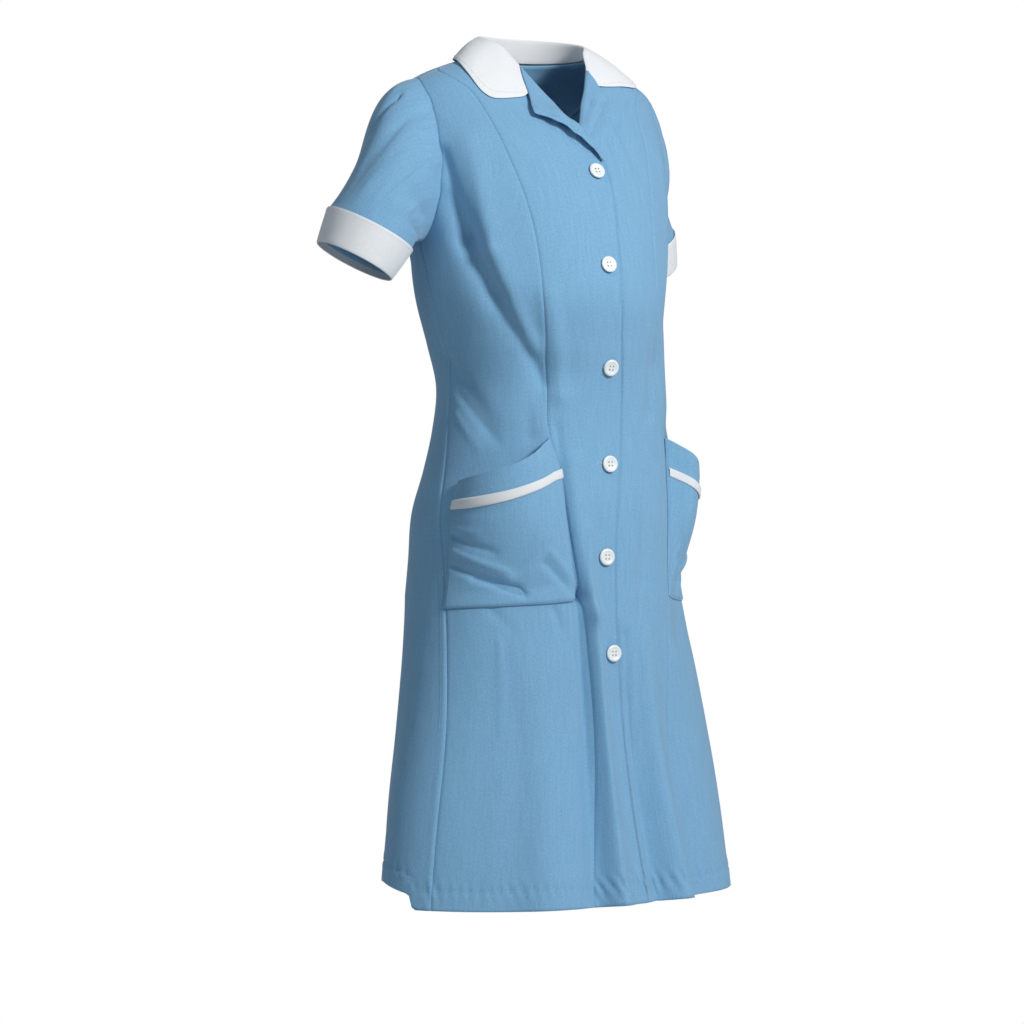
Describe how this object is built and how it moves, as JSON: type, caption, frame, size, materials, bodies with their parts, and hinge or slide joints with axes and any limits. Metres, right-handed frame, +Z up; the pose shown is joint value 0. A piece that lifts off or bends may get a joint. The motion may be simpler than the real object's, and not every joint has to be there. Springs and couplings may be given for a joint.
{
  "type": "button-front work dress",
  "caption": "Knee-length button-front work dress, short sleeves with turned-up cuffs, notched collar and patch pockets, hollow as worn.",
  "frame": {"origin": "middle of the neck at the height of the shoulders, where the wearer's shoulders carry the dress", "axes": "+Z up along the wearer, -Y to the front, +X to the wearer's left"},
  "size_m": [0.5699, 0.3447, 1.0482],
  "materials": {
    "blue_cloth": "matt chambray-like woven cotton",
    "white_cloth": "matt plain-woven cotton",
    "white_plastic": "satin"
  },
  "bodies": {
    "root": {"front_right": "blue_cloth", "front_left": "blue_cloth", "side_front_right_bodice": "blue_cloth", "side_front_right_skirt": "blue_cloth", "side_front_left_bodice": "blue_cloth", "side_front_left_skirt": "blue_cloth", "side_back_right_bodice": "blue_cloth", "side_back_right_skirt": "blue_cloth", "side_back_left_bodice": "blue_cloth", "side_back_left_skirt": "blue_cloth", "back_bodice": "blue_cloth", "back_skirt": "blue_cloth", "sleeve_right": "blue_cloth", "sleeve_left": "blue_cloth", "cuff_right": "white_cloth", "cuff_left": "white_cloth", "collar": "white_cloth", "lapel_right": "blue_cloth", "lapel_left": "blue_cloth", "pocket_right": "blue_cloth", "pocket_left": "blue_cloth", "pocket_trim_right": "white_cloth", "pocket_trim_left": "white_cloth", "button_1": "white_plastic", "button_2": "white_plastic", "button_3": "white_plastic", "button_4": "white_plastic", "button_5": "white_plastic", "button_6": "white_plastic"}
  },
  "joints": []
}
